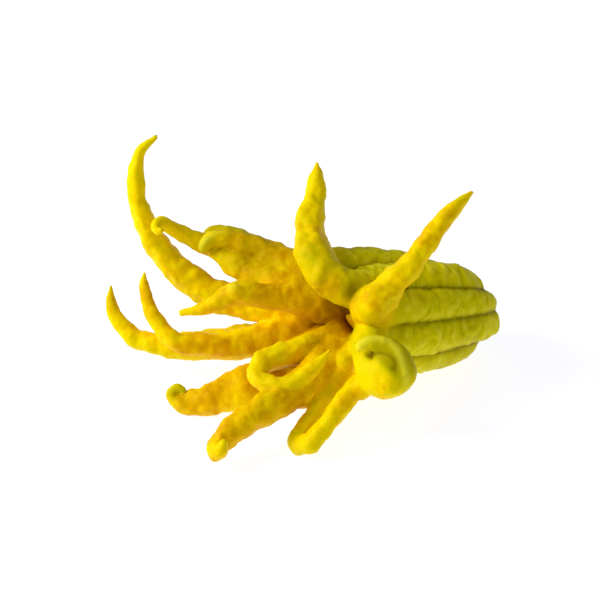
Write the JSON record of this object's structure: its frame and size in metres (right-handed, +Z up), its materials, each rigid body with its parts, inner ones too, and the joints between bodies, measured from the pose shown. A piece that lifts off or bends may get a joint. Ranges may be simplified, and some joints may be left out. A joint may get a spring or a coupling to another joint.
{
  "type": "buddhas hand citron",
  "caption": "Fingered citron lying on its side: a ribbed body that splits into long curved fingers, with a small stem button.",
  "frame": {"origin": "middle of the fruit's footprint, on the surface that it lies on", "axes": "+X from the finger tips to the stem end, +Y away from the side that the curled finger is on, +Z up from the surface"},
  "size_m": [0.2197, 0.1834, 0.1388],
  "materials": {
    "peel": "satin",
    "stalk": "matt"
  },
  "bodies": {
    "root": {"citron": "peel", "stem_button": "stalk"}
  },
  "joints": []
}
